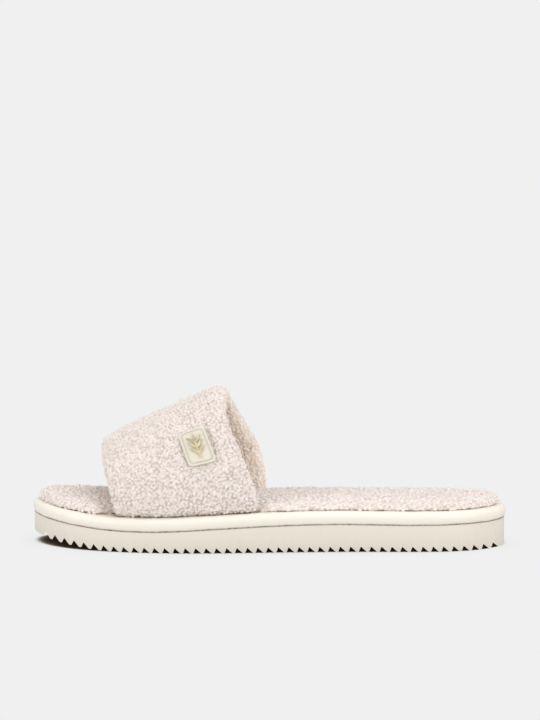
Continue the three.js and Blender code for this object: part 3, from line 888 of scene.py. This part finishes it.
# Painted light: this mask gives the inside of the band a paler, warmer tone.
write_mask(band.data, "inward_painted_glow", inward_painted_glow_mask(band))
shade_smooth(band)
stand_for(band, boucle, "fleece", "upper_outer_fleece")
band_fibres = loose_fibres(
    "band_fibres", band, BAND_FIBRES, FIBRE_RADIUS, seed=24, reach=band_reach ** 3
)
stand_for(band_fibres, fibre, "fleece")

# ---- Band lining -------------------------------------------------------------------------------
# Warmer fleece inside the band, sewn between the two folded edges. Its colours are also painted
# paler than the outer fleece's, as painted light for the light that bounces inside the band.
LINING_SKIN = 0.8 * MM

lining = piece_from("upper_lining_fleece", "band_lining")
even_skin(lining, LINING_SKIN, 6)
tuft_pile(lining, BAND_TUFT, BAND_PILE, seed=37)
shade_smooth(lining)
stand_for(lining, boucle_lining, "lining", "upper_lining_fleece")

# ---- Hem stitching -----------------------------------------------------------------------------
# Two rows of beige thread that hold the folded edges, sunk in the pile.
HEM_STITCH = 3.0 * MM
HEM_STITCH_GAP = 1.2 * MM
HEM_THREAD_RADIUS = 0.22 * MM
HEM_DIP = 0.5 * MM
HEM_LINE_POINTS = 44
HEM_SUNK = 1.5 * MM
HEM_SHOWN = 1.45 * MM


def over_arch(points):
    """The angle of each point round the slipper's length, for sorting a thread over the band."""
    return np.arctan2(points[:, 2] - ARCH_AXIS_HEIGHT, points[:, 1])


def out_of_arch(point):
    """The direction out of the band at a point."""
    return Vector((0, point.y, point.z - ARCH_AXIS_HEIGHT)).normalized()


hem_thread_finish = thread_material(
    "hem_thread", light=(0.60, 0.51, 0.43), deep=(0.42, 0.34, 0.27)
)
for node in ("front_hem_thread", "rear_hem_thread"):
    hem_line = middle_line(node, over_arch, HEM_LINE_POINTS)
    shown = near_mask(hem_line, "label_patch", 9 * MM) * (hem_line[:, 2] > SHOWN_STITCHES_ABOVE)
    lift = HEM_SHOWN * shown - HEM_SUNK
    hem_line += lift[:, None] * np.array([list(out_of_arch(Vector(p))) for p in hem_line])
    row = stitch_row(
        node.replace("thread", "stitches"), hem_line, out_of_arch, HEM_STITCH, HEM_STITCH_GAP,
        HEM_THREAD_RADIUS, HEM_DIP,
    )
    stand_for(row, hem_thread_finish, "thread", node)

# ---- Label -------------------------------------------------------------------------------------
# A small leatherette label with round corners on the outer side, with a sewn border and a plain
# gilt sprig.
LABEL_ROUNDING = 0.25 * MM
LABEL_CREASE = 50
GILT_CREASE = 30

label = piece_from("label_patch", "label")
quads_from(label)
rounding = label.modifiers.new("rounding", "BEVEL")
rounding.width = LABEL_ROUNDING
rounding.segments = 2
rounding.angle_limit = math.radians(LABEL_CREASE)
bake_modifiers(label)
shade_smooth(label, LABEL_CREASE)
label_skin = skin_material(
    "label_skin", light=(0.76, 0.72, 0.615), deep=(0.73, 0.685, 0.575), grain=1400.0, mottle=120.0,
    roughness=(0.4, 0.55), depth=0.03 * MM,
)
stand_for(label, label_skin, "leatherette", "label_patch")

border = piece_from("label_thread", "label_border")
border_thread = thread_material("border_thread", light=(0.64, 0.58, 0.48), deep=(0.52, 0.46, 0.37))
stand_for(border, border_thread, "thread", "label_thread")
shade_smooth(border)

gilt_finish, tree, out = new_material("satin_gilt")
gilt_skin = place_group(tree, moulded_skin, {
    "Grain Scale": 2500.0, "Mottle Scale": 300.0, "Low Roughness": 0.28, "High Roughness": 0.5,
})
gilt_shader = principled(tree, out, Metallic=1.0)
link(
    tree, colour_mix(tree, gilt_skin.outputs["Mottle"], (0.62, 0.52, 0.30), (0.92, 0.83, 0.60)),
    gilt_shader.inputs["Base Color"],
)
link(tree, gilt_skin.outputs["Roughness"], gilt_shader.inputs["Roughness"])
link(tree, bump(tree, gilt_skin.outputs["Height"], 0.03 * MM), gilt_shader.inputs["Normal"])
sprig = piece_from("label_emblem", "gilt_sprig")
stand_for(sprig, gilt_finish, "gilt", "label_emblem")
shade_smooth(sprig, GILT_CREASE)

# ---- Inside pieces -----------------------------------------------------------------------------
# The board, foams, felt and tapes inside the slipper keep their CAD shapes.


def fibre_material(name, light, deep, scale, depth):
    """Felt, foam, pressed board or tape: a speckled matt surface."""
    material, tree, out = new_material(name)
    speckle = tree.nodes.new("ShaderNodeTexNoise")
    speckle.inputs["Scale"].default_value = scale
    speckle.inputs["Detail"].default_value = 4
    link(tree, object_place(tree), speckle.inputs["Vector"])
    shader = principled(tree, out, Roughness=0.9)
    link(tree, colour_mix(tree, speckle.outputs["Fac"], deep, light), shader.inputs["Base Color"])
    link(tree, bump(tree, speckle.outputs["Fac"], depth), shader.inputs["Normal"])
    return material


open_foam = fibre_material("open_foam", (0.9, 0.85, 0.68), (0.78, 0.72, 0.52), 1500, 0.3 * MM)
pressed_board = fibre_material(
    "pressed_board", (0.55, 0.42, 0.27), (0.4, 0.29, 0.17), 900, 0.1 * MM
)
grey_felt = fibre_material("grey_felt", (0.46, 0.43, 0.38), (0.33, 0.3, 0.26), 1200, 0.2 * MM)
stay_tape = fibre_material("stay_tape", (0.9, 0.88, 0.83), (0.8, 0.78, 0.72), 2500, 0.1 * MM)
for node, finish in (
    ("footbed_foam", open_foam),
    ("upper_foam", open_foam),
    ("insole_board", pressed_board),
    ("bottom_filler", grey_felt),
    ("front_edge_tape", stay_tape),
    ("rear_edge_tape", stay_tape),
):
    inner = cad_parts[node]
    inner.data.materials.clear()
    inner.data.materials.append(finish)
